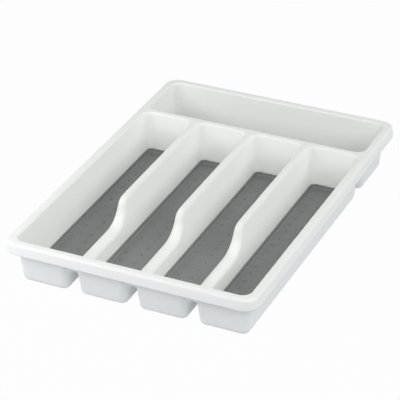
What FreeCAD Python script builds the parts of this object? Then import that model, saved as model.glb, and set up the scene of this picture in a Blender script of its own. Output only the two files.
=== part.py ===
import FreeCAD, Part
import math
import os

from FreeCAD import Vector

# Overall size of the tray in mm. X runs along the front, Y to the rear, Z up.
# The origin is the middle of the plan, on the surface that the feet stand on.
tray_width = 230.0
tray_length = 320.0
tray_height = 43.4

# Moulded walls
wall = 2.0
floor_thickness = 1.5
draft_angle = 6.0

# Down-turned skirt round the rim
skirt_height = 10.3
skirt_flare = 1.3
skirt_corner_radius = 13.0
rim_edge_radius = 2.4

# Tubs that hang from the rim, measured outside at their bottoms
long_tub_count = 4
tub_inset = 11.2
tub_gap = 11.1
rear_tub_depth = 50.9
tub_corner_radius = 6.0
tub_bottom_radius = 5.0

# Bevel round the mouth of each compartment
mouth_bevel = 0.8
mouth_angle = 45.0

# Dip of the long dividers, which lets fingers reach the cutlery
dip_distance = 108.3
dip_top_radius = 9.0
dip_bottom_radius = 18.0
dip_end_bevel = 5.0
saddle_height = 23.2

# Crest of a divider: a flat strip between two bevels, a little above the rim before the dip cuts it
crest_width = 3.2
crest_angle = 35.0
crest_depth = 3.0
crest_lift = 0.2

# Soft linings on the compartment floors
lining_thickness = 1.2
lining_rise = 4.5
lining_clearance = 0.2

# Rubber feet stuck under the corner tubs
foot_radius = 5.0
foot_stand = 1.8
foot_inset = 16.0

# Every cut runs this far past the face that it leaves through
overrun = 5.0

# An edge counts as level if its ends lie within this share of a wall's thickness
flatness_share = 0.001

slope = math.tan(math.radians(draft_angle))
mouth_slope = math.tan(math.radians(mouth_angle))
half_width = tray_width / 2
half_length = tray_length / 2
above_rim = tray_height + overrun
tub_base = foot_stand
floor_level = tub_base + floor_thickness
tub_width = (tray_width - 2 * tub_inset - (long_tub_count - 1) * tub_gap) / long_tub_count
pitch = tub_width + tub_gap
front_edge = tub_inset - half_length
rear_edge = half_length - tub_inset
rear_tub_front = rear_edge - rear_tub_depth
long_tub_rear = rear_tub_front - tub_gap
first_centre = -pitch * (long_tub_count - 1) / 2
tub_centres = [first_centre + pitch * i for i in range(long_tub_count)]
divider_centres = [x + pitch / 2 for x in tub_centres[:-1]]
long_plans = [(x - tub_width / 2, x + tub_width / 2, front_edge, long_tub_rear) for x in tub_centres]
rear_plan = (tub_inset - half_width, half_width - tub_inset, rear_tub_front, rear_edge)
basin_plan = (tub_inset - half_width, half_width - tub_inset, front_edge, long_tub_rear)
tub_plans = long_plans + [rear_plan]

# The crest runs level to dip_start, falls through two arcs, is level again from dip_foot to dip_end
# and rises there at 45 degrees into the front wall
crest_top = tray_height + crest_lift
crest_shoulder = crest_top - crest_depth
saddle_shoulder = saddle_height - crest_depth
dip_reach = dip_top_radius + dip_bottom_radius
dip_turn = math.acos(1 - (crest_top - saddle_height) / dip_reach)
dip_start = dip_distance - half_length
dip_foot = dip_start - dip_reach * math.sin(dip_turn)
dip_end_level = saddle_height + dip_end_bevel
dip_end = front_edge + wall - slope * (dip_end_level - tub_base) + dip_end_bevel
dip_end_run = dip_end_bevel + 2 * wall


def outline(plan, corner, z):
    """Rectangle (x0, x1, y0, y1) with rounded corners, as a closed wire at level z."""
    x0, x1, y0, y1 = plan
    middles = [(x1 - corner, y1 - corner), (x0 + corner, y1 - corner),
               (x0 + corner, y0 + corner), (x1 - corner, y0 + corner)]
    edges = []
    for i, (x, y) in enumerate(middles):
        points = [Vector(x + corner * math.cos(a), y + corner * math.sin(a), z)
                  for a in (math.radians(90 * i + turn) for turn in (0, 45, 90))]
        if edges:
            edges.append(Part.makeLine(edges[-1].Vertexes[-1].Point, points[0]))
        edges.append(Part.Arc(*points).toShape())
    edges.append(Part.makeLine(edges[-1].Vertexes[-1].Point, edges[0].Vertexes[0].Point))
    return Part.Wire(edges)


def drafted(plan, z0, z1, growth, corner):
    """Block on a rounded rectangle at z0, whose sides lean out by growth per unit of height."""
    x0, x1, y0, y1 = plan
    g = growth * (z1 - z0)
    low = outline(plan, corner, z0)
    high = outline((x0 - g, x1 + g, y0 - g, y1 + g), corner + g, z1)
    return Part.makeLoft([low, high], True, True)


def rounded_at(solid, z, radius):
    """The solid with its edges at level z rounded."""
    flat = wall * flatness_share
    edges = [e for e in solid.Edges if all(abs(v.Z - z) < flat for v in e.Vertexes)]
    return solid.makeFillet(radius, edges)


def tub_block(plan, inset, z0, z1, growth=slope):
    """Block from level z0 to z1 that starts inset from the outside of the tub on this plan."""
    x0, x1, y0, y1 = plan
    shift = inset - slope * (z0 - tub_base)
    moved = (x0 + shift, x1 - shift, y0 + shift, y1 - shift)
    return drafted(moved, z0, z1, growth, tub_corner_radius - shift)


def cavity(plan, z0):
    """Inside of a tub from level z0 up, with a bevelled mouth."""
    mouth = tub_block(plan, wall, tray_height - mouth_bevel, above_rim, mouth_slope)
    return tub_block(plan, wall, z0, above_rim).fuse(mouth)


def crest(x):
    """Bar with a flat top and two bevels along a divider at x, from the front past the dip's start."""
    half_top = crest_width / 2
    half_base = half_top + crest_depth / math.tan(math.radians(crest_angle))
    corners = [Vector(x - half_base, dip_start, crest_shoulder), Vector(x + half_base, dip_start, crest_shoulder),
               Vector(x + half_top, dip_start, crest_top), Vector(x - half_top, dip_start, crest_top)]
    section = Part.Face(Part.makePolygon(corners + corners[:1]))
    across = Vector(1, 0, 0)
    degrees = math.degrees(dip_turn)
    top_pivot = Vector(x, dip_start, crest_top - dip_top_radius)
    foot_pivot = Vector(x, dip_foot, saddle_height + dip_bottom_radius)
    steep = section.copy()
    steep.rotate(top_pivot, across, degrees)
    level = steep.copy()
    level.rotate(foot_pivot, across, -degrees)
    end = level.copy()
    end.translate(Vector(0, dip_end - dip_foot, 0))
    bars = [section.extrude(Vector(0, overrun, 0)),
            section.revolve(top_pivot, across, degrees),
            steep.revolve(foot_pivot, across, -degrees),
            level.extrude(Vector(0, dip_end - dip_foot, 0)),
            end.extrude(Vector(0, -dip_end_run, dip_end_run))]
    return bars[0].fuse(bars[1:]).removeSplitter()


def dip_slab(x, y_rear, z_end):
    """Slab as wide as the pitch at x, between the crest's underside and the level z_end."""
    side = x - pitch / 2

    def on_arc(pivot_y, pivot_z, radius, angle):
        return Vector(side, pivot_y + radius * math.sin(angle), pivot_z + radius * math.cos(angle))

    top_arc = (dip_start, crest_top - dip_top_radius, dip_top_radius - crest_depth)
    foot_arc = (dip_foot, saddle_height + dip_bottom_radius, -dip_bottom_radius - crest_depth)
    tip_level = saddle_shoulder + dip_end_run
    points = [on_arc(*top_arc, -dip_turn), on_arc(*top_arc, 0),
              Vector(side, y_rear, crest_shoulder), Vector(side, y_rear, z_end),
              Vector(side, -half_length, z_end), Vector(side, -half_length, tip_level),
              Vector(side, dip_end - dip_end_run, tip_level), Vector(side, dip_end, saddle_shoulder),
              on_arc(*foot_arc, 0)]
    edges = [Part.makeLine(a, b) for a, b in zip(points[1:], points[2:])]
    edges.append(Part.Arc(points[-1], on_arc(*foot_arc, -dip_turn / 2), points[0]).toShape())
    edges.append(Part.Arc(points[0], on_arc(*top_arc, -dip_turn / 2), points[1]).toShape())
    return Part.Face(Part.Wire(edges)).extrude(Vector(pitch, 0, 0))


def rim():
    """Flat rim with a rounded outer edge and a flared skirt, open below."""
    skirt_foot = tray_height - skirt_height
    flare = -skirt_flare / skirt_height
    plan = (-half_width, half_width, -half_length, half_length)
    outside = drafted(plan, skirt_foot, tray_height, flare, skirt_corner_radius)
    outside = rounded_at(outside, tray_height, rim_edge_radius)
    reach = wall - overrun * flare
    hollow_plan = (reach - half_width, half_width - reach, reach - half_length, half_length - reach)
    hollow = drafted(hollow_plan, skirt_foot - overrun, tray_height - wall, flare, skirt_corner_radius - reach)
    return outside.cut(hollow)


def foot_places():
    """Middles of the feet: under the fronts of the outer long tubs and the ends of the rear tub."""
    rear_row = (rear_tub_front + rear_edge) / 2
    rows = {"front": front_edge + foot_inset, "rear": rear_row}
    sides = {"left": tub_centres[0], "right": tub_centres[-1]}
    return {f"foot_{r}_{s}": Vector(x, y, 0) for r, y in rows.items() for s, x in sides.items()}


def tray_body():
    """One moulding: rim, open tubs and the hollow, dipped dividers between them."""
    joint_level = tray_height - wall / 2
    tubs = [rounded_at(tub_block(plan, 0.0, tub_base, joint_level), tub_base, tub_bottom_radius)
            for plan in tub_plans]
    basin = tub_block(basin_plan, 0.0, saddle_shoulder, joint_level)
    body = rim().fuse(tubs + [basin])

    cavities = [cavity(plan, floor_level) for plan in tub_plans]
    body = body.cut(cavities[0].fuse(cavities[1:]))
    basin_inside = cavity(basin_plan, saddle_shoulder - overrun)
    cross_middle = (long_tub_rear + rear_tub_front) / 2
    all_tubs = tubs[0].fuse(tubs[1:])
    for x in divider_centres:
        dip = dip_slab(x, dip_start + overrun, above_rim).cut(crest(x))
        hollow = dip_slab(x, cross_middle, saddle_shoulder - overrun)
        body = body.cut([dip.common(basin_inside), hollow.cut(all_tubs)])

    return body.removeSplitter()


def lining(plan):
    """Thin soft dish that lies on a compartment's floor and turns up at its walls."""
    edge_level = floor_level + lining_rise
    outer_inset = wall + lining_clearance
    outside = tub_block(plan, outer_inset, floor_level, edge_level)
    inside = tub_block(plan, outer_inset + lining_thickness, floor_level + lining_thickness,
                       edge_level + overrun)
    return outside.cut(inside)


def foot(place):
    """Round rubber pad, stuck to the underside."""
    return Part.makeCylinder(foot_radius, foot_stand, place)


def main():
    pieces = {"tray_body": tray_body()}
    for i, plan in enumerate(long_plans):
        pieces[f"lining_long_{i + 1}"] = lining(plan)
    pieces["lining_rear"] = lining(rear_plan)
    for name, place in foot_places().items():
        pieces[name] = foot(place)
    os.makedirs("parts", exist_ok=True)
    for name, shape in pieces.items():
        solid = shape.Solids[0]
        solid.exportStep(f"parts/{name}.step")
        box = solid.BoundBox
        print(name, len(shape.Solids), solid.isValid(), round(solid.Volume, 1),
              [round(v, 2) for v in (box.XMin, box.XMax, box.YMin, box.YMax, box.ZMin, box.ZMax)])


main()
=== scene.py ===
import math

import bmesh
import bpy
from mathutils import Matrix, Vector


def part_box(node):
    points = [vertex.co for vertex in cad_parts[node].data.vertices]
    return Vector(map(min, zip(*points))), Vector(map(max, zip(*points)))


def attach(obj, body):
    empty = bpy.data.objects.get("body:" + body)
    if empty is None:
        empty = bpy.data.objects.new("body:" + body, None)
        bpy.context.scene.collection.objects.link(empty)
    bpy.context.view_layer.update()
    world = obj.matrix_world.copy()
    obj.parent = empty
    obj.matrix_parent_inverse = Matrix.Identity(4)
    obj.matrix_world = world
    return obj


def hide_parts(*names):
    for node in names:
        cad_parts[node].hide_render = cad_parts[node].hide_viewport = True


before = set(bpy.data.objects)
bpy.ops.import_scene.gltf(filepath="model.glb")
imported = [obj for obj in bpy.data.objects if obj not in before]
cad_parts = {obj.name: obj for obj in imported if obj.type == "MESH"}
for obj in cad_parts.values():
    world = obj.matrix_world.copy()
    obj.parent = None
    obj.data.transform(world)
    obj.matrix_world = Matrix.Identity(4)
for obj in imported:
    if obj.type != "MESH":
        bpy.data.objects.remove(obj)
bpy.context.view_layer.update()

MM = 0.001
WHITE = (1, 1, 1, 1)

# Moulded tray: the CAD solid is remeshed on a grid and smoothed, which rounds all its edges
WELD_DISTANCE = 0.001 * MM
MOULD_GRID = 0.7 * MM
MOULD_SMOOTHING = 7
SMOOTHING_SHARE = 0.5
MOULD_FACES_SHARE = 0.12

# Crests of the long dividers: a strip along each is smoothed more, as far as the reach from its middle,
# and at the strip's border that fades out in steps
CREST_SMOOTHING = 44
CREST_REACH = 6.6 * MM
CREST_FADE = 0.8 * MM
CREST_STEPS = 4

# Soft linings: a thin dish with a rounded lip, lifted a little off the tray's floor
LINING_THICKNESS = 1.2 * MM
LINING_DRAFT = math.radians(6)
LINING_CORNER = 4.5 * MM
LINING_OUTER_ROUND = 2.0 * MM
LINING_INNER_ROUND = 1.5 * MM
LINING_LIFT = 0.05 * MM

# Field of small raised dots on each lining
DOT_PITCH = 12.0 * MM
DOT_MARGIN = 5.0 * MM
DOT_RADIUS = 1.5 * MM
DOT_HEIGHT = 1.1 * MM
DOT_FOOT = 0.25 * MM
DOT_SIDES = 24

# Rubber feet
FOOT_ROUND = 0.5 * MM
FOOT_SIDES = 48

# Angles along a quarter of a rounded edge
ARC_STEPS = 6
QUARTER = [math.pi / 2 * step / ARC_STEPS for step in range(ARC_STEPS + 1)]

# Looks of the materials: clouds mix two colours, speckles vary the roughness and a grain gives relief.
# Noise mostly lies between the two noise levels.
NOISE_LOW = 0.3
NOISE_HIGH = 0.7
PLASTIC = {
    "colours": ((0.934, 0.946, 0.929), (0.946, 0.958, 0.941)), "cloud_size": 40 * MM, "cloud_detail": 2,
    "roughness": (0.52, 0.60), "speckle_size": 6 * MM, "speckle_detail": 4,
    "grain_size": 0.5 * MM, "grain_detail": 2, "grain_depth": 0.02 * MM, "grain_strength": 0.25,
}
PLASTIC_IOR = 1.49
LINING_RUBBER = {
    "colours": ((0.188, 0.196, 0.191), (0.208, 0.216, 0.211)), "cloud_size": 25 * MM, "cloud_detail": 4,
    "roughness": (0.40, 0.50), "speckle_size": 3 * MM, "speckle_detail": 4,
    "grain_size": 0.6 * MM, "grain_detail": 3, "grain_depth": 0.06 * MM, "grain_strength": 0.4,
}
LINING_SPECULAR = 1.0
LINING_SHEEN = (0.90, 0.98, 1.0)
FOOT_RUBBER = {
    "colours": ((0.13, 0.135, 0.13), (0.16, 0.165, 0.16)), "cloud_size": 4 * MM, "cloud_detail": 4,
    "roughness": (0.6, 0.75), "speckle_size": 2 * MM, "speckle_detail": 4,
    "grain_size": 0.4 * MM, "grain_detail": 3, "grain_depth": 0.04 * MM, "grain_strength": 0.4,
}

# Camera of the photograph: focal length and image width in pixels, then its direction from the point that
# it is aimed at, its roll, its distance and its shift to the right and up
IMAGE_WIDTH = 400
FOCAL_PIXELS = 1945.3
CAMERA_AIM = Vector((0, 0, 22.2 * MM))
CAMERA_AZIMUTH = math.radians(26.293)
CAMERA_ELEVATION = math.radians(31.277)
CAMERA_ROLL = math.radians(-1.551)
CAMERA_DISTANCE = 1700.3 * MM
CAMERA_RIGHT = -7.61 * MM
CAMERA_UP = 0.139 * MM

# Floor like a light table: its colour, its own weak glow, which reaches into the gaps between the tubs,
# and the share of plain white that the camera sees in it
FLOOR_SIZE = 6.0
FLOOR_GAP = 0.2 * MM
FLOOR_COLOUR = (0.20, 0.21, 0.22)
FLOOR_GLOW = (0.247, 0.26, 0.279)
FLOOR_ROUGHNESS = 0.9
FLOOR_WHITE_SHARE = 0.97

# Studio light: dim surroundings and softboxes, each with its azimuth and elevation in degrees,
# its distance and size in metres and its power in watts
WORLD_LIGHT = 0.15
SOFTBOXES = {
    "left": (-60, 35, 1.7, 1.0, 6.7),
    "front": (0, 35, 1.7, 1.0, 7.4),
    "right": (60, 35, 1.7, 1.0, 9.1),
    "rear": (120, 35, 1.7, 1.0, 8.9),
    "low_fill": (-40, 12, 0.4, 0.25, 0.165),
    "near_fill": (-75, 40, 0.5, 0.35, 0.34),
}


def shade_smooth(mesh):
    mesh.polygons.foreach_set("use_smooth", [True] * len(mesh.polygons))


def new_piece(name, mesh, material):
    """Object in the scene with this mesh and material, shaded smooth."""
    piece = bpy.data.objects.new(name, mesh)
    bpy.context.scene.collection.objects.link(piece)
    mesh.materials.clear()
    mesh.materials.append(material)
    shade_smooth(mesh)
    return piece


def join_frame(piece, node):
    """The piece stands for a CAD node and moves with the part."""
    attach(piece, "root")
    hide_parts(node)


def applied(piece):
    """Turns the piece's modifiers into its mesh."""
    graph = bpy.context.evaluated_depsgraph_get()
    mesh = bpy.data.meshes.new_from_object(piece.evaluated_get(graph))
    old = piece.data
    piece.modifiers.clear()
    piece.data = mesh
    bpy.data.meshes.remove(old)


def noise(tree, place, size, detail):
    """Noise value from 0 to 1 with features of this size in metres."""
    node = tree.nodes.new("ShaderNodeTexNoise")
    node.inputs["Scale"].default_value = 1 / size
    node.inputs["Detail"].default_value = detail
    tree.links.new(place, node.inputs["Vector"])
    return node.outputs["Fac"]


def between(tree, value, low, high):
    """Noise spread over the range from low to high."""
    node = tree.nodes.new("ShaderNodeMapRange")
    node.inputs["From Min"].default_value = NOISE_LOW
    node.inputs["From Max"].default_value = NOISE_HIGH
    node.inputs["To Min"].default_value = low
    node.inputs["To Max"].default_value = high
    tree.links.new(value, node.inputs["Value"])
    return node.outputs["Result"]


def mottled(tree, value, dark, light):
    """Colour that goes from dark to light with the noise."""
    node = tree.nodes.new("ShaderNodeValToRGB")
    ends = node.color_ramp.elements
    for end, level, colour in zip(ends, (NOISE_LOW, NOISE_HIGH), (dark, light)):
        end.position = level
        end.color = (*colour, 1)
    tree.links.new(value, node.inputs["Fac"])
    return node.outputs["Color"]


def bumped(tree, shader, height, depth, strength):
    """Adds fine relief of this depth to the shader."""
    node = tree.nodes.new("ShaderNodeBump")
    node.inputs["Distance"].default_value = depth
    node.inputs["Strength"].default_value = strength
    tree.links.new(height, node.inputs["Height"])
    tree.links.new(node.outputs["Normal"], shader.inputs["Normal"])


def surface(name, look):
    """Material with clouded colour, speckled roughness and a fine grain, and its shader."""
    material = bpy.data.materials.new(name)
    material.use_nodes = True
    tree = material.node_tree
    shader = tree.nodes["Principled BSDF"]
    place = tree.nodes.new("ShaderNodeTexCoord").outputs["Object"]
    clouds = noise(tree, place, look["cloud_size"], look["cloud_detail"])
    speckles = noise(tree, place, look["speckle_size"], look["speckle_detail"])
    grain = noise(tree, place, look["grain_size"], look["grain_detail"])
    tree.links.new(mottled(tree, clouds, *look["colours"]), shader.inputs["Base Color"])
    tree.links.new(between(tree, speckles, *look["roughness"]), shader.inputs["Roughness"])
    bumped(tree, shader, grain, look["grain_depth"], look["grain_strength"])
    return material, shader


def white_plastic():
    """Satin white moulded plastic with a fine tool grain."""
    material, shader = surface("white_plastic", PLASTIC)
    shader.inputs["IOR"].default_value = PLASTIC_IOR
    return material


def grey_rubber():
    """Grey soft lining with a leathery grain and a cool sheen."""
    material, shader = surface("grey_rubber", LINING_RUBBER)
    shader.inputs["Specular IOR Level"].default_value = LINING_SPECULAR
    shader.inputs["Specular Tint"].default_value = (*LINING_SHEEN, 1)
    return material


def foot_rubber():
    """Darker, duller rubber of the feet."""
    return surface("foot_rubber", FOOT_RUBBER)[0]


def crest_group(piece):
    """Vertex group along the dividers of the long compartments, fading out to their sides."""
    boxes = [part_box(node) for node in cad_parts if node.startswith("lining_long_")]
    middles = [(a[1].x + b[0].x) / 2 for a, b in zip(boxes, boxes[1:])]
    front, rear = boxes[0][0].y, boxes[0][1].y
    steps = [[] for _ in range(CREST_STEPS)]
    for vertex in piece.data.vertices:
        off = min(abs(vertex.co.x - x) for x in middles)
        step = math.floor((CREST_REACH - off) / CREST_FADE * CREST_STEPS)
        if step >= 0 and front < vertex.co.y < rear:
            steps[min(step, CREST_STEPS - 1)].append(vertex.index)
    group = piece.vertex_groups.new(name="crests")
    for i, indices in enumerate(steps):
        group.add(indices, (i + 1) / CREST_STEPS, "REPLACE")
    return group.name


def smoothed(piece, iterations, group=""):
    """Smooths the piece, or only the vertices in the group."""
    smooth = piece.modifiers.new("smooth", "SMOOTH")
    smooth.factor = SMOOTHING_SHARE
    smooth.iterations = iterations
    smooth.vertex_group = group


def tray_body(material):
    """The moulded tray: the CAD solid with every edge rounded, most of all the dividers' crests."""
    piece = new_piece("moulded_tray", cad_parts["tray_body"].data.copy(), material)
    mesh = bmesh.new()
    mesh.from_mesh(piece.data)
    bmesh.ops.remove_doubles(mesh, verts=mesh.verts, dist=WELD_DISTANCE)
    mesh.to_mesh(piece.data)
    mesh.free()
    grid = piece.modifiers.new("grid", "REMESH")
    grid.mode = "VOXEL"
    grid.voxel_size = MOULD_GRID
    applied(piece)
    smoothed(piece, CREST_SMOOTHING, crest_group(piece))
    smoothed(piece, MOULD_SMOOTHING)
    fewer = piece.modifiers.new("fewer", "DECIMATE")
    fewer.ratio = MOULD_FACES_SHARE
    applied(piece)
    shade_smooth(piece.data)
    join_frame(piece, "tray_body")


def add_ring(mesh, points):
    return [mesh.verts.new(p) for p in points]


def skin(mesh, rings):
    """Quads between each ring and the next one, which has as many points."""
    for ring_a, ring_b in zip(rings, rings[1:]):
        count = len(ring_a)
        for i in range(count):
            j = (i + 1) % count
            mesh.faces.new((ring_a[i], ring_a[j], ring_b[j], ring_b[i]))


def loop_edges(mesh, ring):
    """Edges round a ring, made where they are missing."""
    return [mesh.edges.get((ring[i - 1], ring[i])) or mesh.edges.new((ring[i - 1], ring[i]))
            for i in range(len(ring))]


def circle(x, y, z, radius, sides):
    """Points of a level circle, anticlockwise from above."""
    turns = [2 * math.pi * i / sides for i in range(sides)]
    return [Vector((x + radius * math.cos(a), y + radius * math.sin(a), z)) for a in turns]


def rubber_piece(name, mesh, material, node):
    """Turns a finished mesh into a piece whose flat faces look flat, and which stands for the node."""
    bmesh.ops.recalc_face_normals(mesh, faces=mesh.faces)
    data = bpy.data.meshes.new(name)
    mesh.to_mesh(data)
    mesh.free()
    piece = new_piece(name, data, material)
    piece.modifiers.new("normals", "WEIGHTED_NORMAL")
    join_frame(piece, node)


def outline(low, high, inset, z):
    """Points of a rounded rectangle, inset from the lip of a lining, anticlockwise from above."""
    radius = LINING_CORNER - inset
    x0, x1 = low.x + LINING_CORNER, high.x - LINING_CORNER
    y0, y1 = low.y + LINING_CORNER, high.y - LINING_CORNER
    points = []
    for turn, (x, y) in enumerate([(x1, y1), (x0, y1), (x0, y0), (x1, y0)]):
        for step in range(ARC_STEPS + 1):
            angle = math.pi / 2 * (turn + step / ARC_STEPS)
            points.append(Vector((x + radius * math.cos(angle), y + radius * math.sin(angle), z)))
    return points


def lining_profile(low, high):
    """Section of a lining as (inset from the lip, level), from the underside over the lip to the floor."""
    lip = LINING_THICKNESS / 2
    bottom = low.z + LINING_LIFT
    floor = low.z + LINING_THICKNESS

    def side(z):
        return (high.z - z) * math.tan(LINING_DRAFT)

    outer = LINING_OUTER_ROUND
    inner = LINING_INNER_ROUND
    points = [(side(bottom + outer) + outer * (1 - math.sin(a)), bottom + outer * (1 - math.cos(a)))
              for a in QUARTER]
    centre = side(high.z - lip) + lip
    points += [(centre - lip * math.cos(2 * a), high.z - lip + lip * math.sin(2 * a)) for a in QUARTER]
    wall = side(floor + inner) + LINING_THICKNESS
    points += [(wall + inner * (1 - math.cos(a)), floor + inner * (1 - math.sin(a))) for a in QUARTER]
    return points


def dot_places(low, high):
    """Middles of the dots: a square field in the middle of the floor."""
    middle = (low + high) / 2
    size = high - low
    columns, rows = [math.floor((length - 2 * DOT_MARGIN) / DOT_PITCH) + 1 for length in (size.x, size.y)]
    return [(middle.x + DOT_PITCH * (i - (columns - 1) / 2), middle.y + DOT_PITCH * (j - (rows - 1) / 2))
            for i in range(columns) for j in range(rows)]


def dot_profile():
    """Section of a dot as (radius, height above the floor): a small hollow foot, then a dome."""
    foot_arc = [(DOT_RADIUS + DOT_FOOT * (1 - math.sin(a)), DOT_FOOT * (1 - math.cos(a))) for a in QUARTER]
    dome = DOT_HEIGHT - DOT_FOOT
    return foot_arc + [(DOT_RADIUS * math.cos(a), DOT_FOOT + dome * math.sin(a)) for a in QUARTER[1:-1]]


def add_dot(mesh, x, y, z):
    """Small raised dot on the floor. Returns its rim."""
    rings = [add_ring(mesh, circle(x, y, z + height, radius, DOT_SIDES)) for radius, height in dot_profile()]
    skin(mesh, rings)
    top = mesh.verts.new((x, y, z + DOT_HEIGHT))
    last = rings[-1]
    for i in range(DOT_SIDES):
        mesh.faces.new((last[i - 1], last[i], top))
    return rings[0]


def lining(node, material):
    """A lining: dish with rounded edges and raised dots on its floor."""
    low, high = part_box(node)
    mesh = bmesh.new()
    profile = lining_profile(low, high)
    rings = [add_ring(mesh, outline(low, high, inset, z)) for inset, z in profile]
    skin(mesh, rings)
    mesh.faces.new(list(reversed(rings[0])))
    floor = profile[-1][1]
    edges = loop_edges(mesh, rings[-1])
    for x, y in dot_places(low, high):
        edges += loop_edges(mesh, add_dot(mesh, x, y, floor))
    bmesh.ops.triangle_fill(mesh, use_beauty=True, edges=edges, normal=(0, 0, 1))
    rubber_piece("soft_" + node, mesh, material, node)


def foot(node, material):
    """Round rubber pad with softened edges."""
    low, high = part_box(node)
    x, y = (low.x + high.x) / 2, (low.y + high.y) / 2
    inner = (high.x - low.x) / 2 - FOOT_ROUND
    profile = [(inner + FOOT_ROUND * math.sin(a), low.z + FOOT_ROUND * (1 - math.cos(a))) for a in QUARTER]
    profile += [(inner + FOOT_ROUND * math.cos(a), high.z - FOOT_ROUND * (1 - math.sin(a))) for a in QUARTER]
    mesh = bmesh.new()
    rings = [add_ring(mesh, circle(x, y, z, radius, FOOT_SIDES)) for radius, z in profile]
    skin(mesh, rings)
    mesh.faces.new(list(reversed(rings[0])))
    mesh.faces.new(rings[-1])
    rubber_piece("pad_" + node, mesh, material, node)


def seen_directly(tree):
    """1 for rays from the camera, from gloss and through glass, else 0."""
    path = tree.nodes.new("ShaderNodeLightPath")
    total = path.outputs["Is Camera Ray"]
    for name in ("Is Glossy Ray", "Is Transmission Ray"):
        node = tree.nodes.new("ShaderNodeMath")
        node.operation = "MAXIMUM"
        tree.links.new(total, node.inputs[0])
        tree.links.new(path.outputs[name], node.inputs[1])
        total = node.outputs["Value"]
    return total


def mixed(tree, share, plain, white, output):
    """Sends a mix of the plain shader and this share of the white one to the output node."""
    mix = tree.nodes.new("ShaderNodeMixShader")
    tree.links.new(share, mix.inputs["Fac"])
    tree.links.new(plain, mix.inputs[1])
    tree.links.new(white, mix.inputs[2])
    tree.links.new(mix.outputs["Shader"], tree.nodes[output].inputs["Surface"])


def surroundings():
    """Dim light from all round, plain white where it is seen directly."""
    world = bpy.data.worlds.new("studio")
    bpy.context.scene.world = world
    world.use_nodes = True
    tree = world.node_tree
    light = tree.nodes["Background"]
    light.inputs["Color"].default_value = WHITE
    light.inputs["Strength"].default_value = WORLD_LIGHT
    backdrop = tree.nodes.new("ShaderNodeBackground")
    backdrop.inputs["Color"].default_value = WHITE
    seen = seen_directly(tree)
    mixed(tree, seen, light.outputs["Background"], backdrop.outputs["Background"], "World Output")


def pale_floor():
    """Floor with the tray's shadow, nearly white where it is seen directly."""
    material = bpy.data.materials.new("pale_floor")
    material.use_nodes = True
    tree = material.node_tree
    shader = tree.nodes["Principled BSDF"]
    shader.inputs["Base Color"].default_value = (*FLOOR_COLOUR, 1)
    shader.inputs["Roughness"].default_value = FLOOR_ROUGHNESS
    shader.inputs["Emission Color"].default_value = (*FLOOR_GLOW, 1)
    shader.inputs["Emission Strength"].default_value = 1
    white = tree.nodes.new("ShaderNodeEmission")
    white.inputs["Color"].default_value = WHITE
    share = tree.nodes.new("ShaderNodeMath")
    share.operation = "MULTIPLY"
    share.inputs[1].default_value = FLOOR_WHITE_SHARE
    tree.links.new(seen_directly(tree), share.inputs[0])
    mixed(tree, share.outputs["Value"], shader.outputs["BSDF"], white.outputs["Emission"], "Material Output")
    bpy.ops.mesh.primitive_plane_add(size=FLOOR_SIZE, location=(0, 0, -FLOOR_GAP))
    floor = bpy.context.object
    floor.name = "floor"
    floor.data.materials.append(material)


def direction(azimuth, elevation):
    """Unit vector to a place round the object. Azimuth 0 is in front, a right angle is to the right."""
    return Vector((math.sin(azimuth) * math.cos(elevation), -math.cos(azimuth) * math.cos(elevation),
                   math.sin(elevation)))


def softbox(name, azimuth, elevation, distance, size, power):
    """Square lamp that is aimed at the tray and hidden from the camera."""
    lamp = bpy.data.lights.new(name, "AREA")
    lamp.energy = power
    lamp.size = size
    box = bpy.data.objects.new(name, lamp)
    away = direction(math.radians(azimuth), math.radians(elevation))
    box.location = CAMERA_AIM + distance * away
    box.rotation_euler = away.to_track_quat("Z", "Y").to_euler()
    box.visible_camera = False
    bpy.context.scene.collection.objects.link(box)


def camera():
    """Camera at the photograph's place."""
    back = direction(CAMERA_AZIMUTH, CAMERA_ELEVATION)
    level = (-back).cross(Vector((0, 0, 1))).normalized()
    upright = level.cross(-back)
    right = math.cos(CAMERA_ROLL) * level + math.sin(CAMERA_ROLL) * upright
    up = math.cos(CAMERA_ROLL) * upright - math.sin(CAMERA_ROLL) * level
    lens = bpy.data.cameras.new("camera")
    lens.lens = FOCAL_PIXELS / IMAGE_WIDTH * lens.sensor_width
    viewer = bpy.data.objects.new("camera", lens)
    viewer.matrix_world = Matrix((right, up, back)).transposed().to_4x4()
    viewer.location = CAMERA_AIM + CAMERA_DISTANCE * back + CAMERA_RIGHT * right + CAMERA_UP * up
    bpy.context.scene.collection.objects.link(viewer)
    bpy.context.scene.camera = viewer


def main():
    bpy.context.scene.view_settings.view_transform = "Standard"
    tray_body(white_plastic())
    rubber = grey_rubber()
    pads = foot_rubber()
    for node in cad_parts:
        if node.startswith("lining_"):
            lining(node, rubber)
        if node.startswith("foot_"):
            foot(node, pads)
    surroundings()
    pale_floor()
    for name, setting in SOFTBOXES.items():
        softbox(name, *setting)
    camera()


main()
